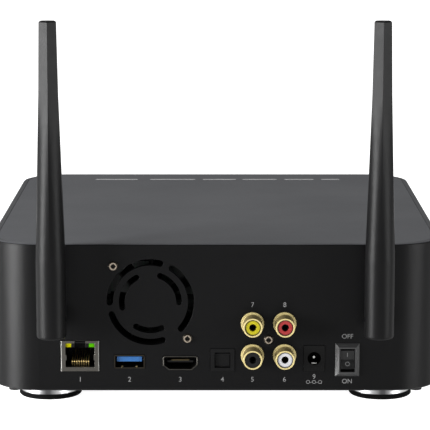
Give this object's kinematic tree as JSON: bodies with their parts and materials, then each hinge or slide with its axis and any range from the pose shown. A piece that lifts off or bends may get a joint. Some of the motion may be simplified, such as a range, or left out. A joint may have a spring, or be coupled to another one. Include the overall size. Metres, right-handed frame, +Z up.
{
  "type": "media player",
  "caption": "Square media player on round feet with a front hard drive tray, a rear panel of jacks, a slotted fan grille and two folding antennas.",
  "frame": {"origin": "on the floor under the middle of the whole object's outline", "axes": "+Z up, +Y out of the rear panel with the jacks, the tray slides out towards -Y, +X to the left of someone who faces the rear panel"},
  "size_m": [0.1976, 0.2204, 0.169],
  "materials": {
    "shell_black": "satin",
    "top_grey": "satin",
    "chassis_black": "satin",
    "fascia_black": "satin",
    "window_smoke": "polished",
    "circuit_board": "solder mask",
    "heatsink_aluminium": "extruded",
    "jack_steel": "plated",
    "jack_black": "moulded",
    "contact_gold": "gold plated",
    "phono_gold": "gold plated",
    "light_yellow": "tinted",
    "light_green": "tinted",
    "usb_blue": "moulded",
    "insert_yellow": "moulded",
    "insert_red": "moulded",
    "insert_black": "moulded",
    "insert_white": "moulded",
    "switch_black": "moulded",
    "fan_black": "moulded",
    "screw_steel": "plated",
    "foot_chrome": "polished",
    "foot_rubber": "matt",
    "antenna_black": "satin",
    "socket_black": "plated",
    "pin_steel": "ground",
    "lead_black": "matt",
    "cage_steel": "galvanised",
    "tray_black": "moulded",
    "bezel_black": "satin",
    "lever_black": "moulded",
    "button_black": "moulded",
    "drive_casting": "cast",
    "drive_lid": "stamped"
  },
  "bodies": {
    "housing": {"housing_shell": "shell_black", "top_plate": "top_grey", "bottom_plate": "chassis_black", "front_fascia": "fascia_black", "display_window": "window_smoke", "main_board": "circuit_board", "display_board": "circuit_board", "sata_backplane": "circuit_board", "soc_heatsink": "heatsink_aluminium", "lan_shell": "jack_steel", "usb_shell": "jack_steel", "hdmi_shell": "jack_steel", "wifi_module": "jack_steel", "dc_contacts": "jack_steel", "lan_insert": "jack_black", "optical_jack": "jack_black", "dc_jack": "jack_black", "rca_base": "jack_black", "hdmi_tongue": "jack_black", "sata_socket": "jack_black", "jack_contacts": "contact_gold", "rca_barrels": "phono_gold", "lan_light_yellow": "light_yellow", "lan_light_green": "light_green", "usb_tongue": "usb_blue", "rca_insert_yellow": "insert_yellow", "rca_insert_red": "insert_red", "rca_insert_black": "insert_black", "rca_insert_white": "insert_white", "rocker_frame": "switch_black", "fan_frame": "fan_black", "rear_screws": "screw_steel", "case_screws": "screw_steel", "foot_screws": "screw_steel", "foot_cups": "foot_chrome", "foot_pads": "foot_rubber", "antenna_sockets": "socket_black", "antenna_nuts": "socket_black", "antenna_leads": "lead_black", "fan_lead": "lead_black", "hdd_cage": "cage_steel"},
    "fan": {"fan_rotor": "fan_black"},
    "rocker": {"rocker": "switch_black"},
    "power_button": {"power_button": "button_black"},
    "optical_shutter": {"optical_shutter": "jack_black"},
    "left_knuckle": {"left_antenna_knuckle": "antenna_black"},
    "left_paddle": {"left_antenna": "antenna_black", "left_antenna_pin": "pin_steel"},
    "right_knuckle": {"right_antenna_knuckle": "antenna_black"},
    "right_paddle": {"right_antenna": "antenna_black", "right_antenna_pin": "pin_steel"},
    "tray": {"tray_frame": "tray_black", "tray_bezel": "bezel_black", "tray_lever_pin": "pin_steel", "hard_drive": "drive_casting", "hard_drive_lid": "drive_lid", "hdd_screws": "screw_steel"},
    "lever": {"tray_lever": "lever_black"},
    "release": {"tray_release": "button_black"}
  },
  "joints": [
    {"name": "tray_slide", "type": "slide", "parent": "housing", "child": "tray", "axis": [0, -1, 0], "range_m": [0, 0.15]},
    {"name": "tray_lever_hinge", "type": "hinge", "parent": "tray", "child": "lever", "pos_m": [0.0515, -0.1065, 0.044], "axis": [0, 0, 1], "range_deg": [0, 75]},
    {"name": "tray_release_press", "type": "slide", "parent": "tray", "child": "release", "axis": [0, 1, 0], "range_m": [0, 0.0015], "stiffness_N_per_m": 400},
    {"name": "power_button_press", "type": "slide", "parent": "housing", "child": "power_button", "axis": [0, 1, 0], "range_m": [0, 0.0006], "stiffness_N_per_m": 800},
    {"name": "rocker_tilt", "type": "hinge", "parent": "housing", "child": "rocker", "pos_m": [-0.0574, 0.0906, 0.0209], "axis": [-1, 0, 0], "range_deg": [0, 16]},
    {"name": "fan_spin", "type": "hinge", "parent": "housing", "child": "fan", "pos_m": [0.0281, 0.085, 0.0464], "axis": [0, 1, 0], "continuous": true},
    {"name": "optical_shutter_hinge", "type": "hinge", "parent": "housing", "child": "optical_shutter", "pos_m": [-0.0031, 0.0907, 0.02325], "axis": [-1, 0, 0], "range_deg": [0, 80], "stiffness_Nm_per_rad": 0.0002},
    {"name": "left_antenna_swivel", "type": "hinge", "parent": "housing", "child": "left_knuckle", "pos_m": [0.0701, 0.0938, 0.0415], "axis": [0, 1, 0], "range_deg": [-30, 90]},
    {"name": "left_antenna_fold", "type": "hinge", "parent": "left_knuckle", "child": "left_paddle", "pos_m": [0.0701, 0.1038, 0.0415], "axis": [-1, 0, 0], "range_deg": [0, 90]},
    {"name": "right_antenna_swivel", "type": "hinge", "parent": "housing", "child": "right_knuckle", "pos_m": [-0.0701, 0.0938, 0.0415], "axis": [0, -1, 0], "range_deg": [-30, 90]},
    {"name": "right_antenna_fold", "type": "hinge", "parent": "right_knuckle", "child": "right_paddle", "pos_m": [-0.0701, 0.1038, 0.0415], "axis": [-1, 0, 0], "range_deg": [0, 90]}
  ]
}
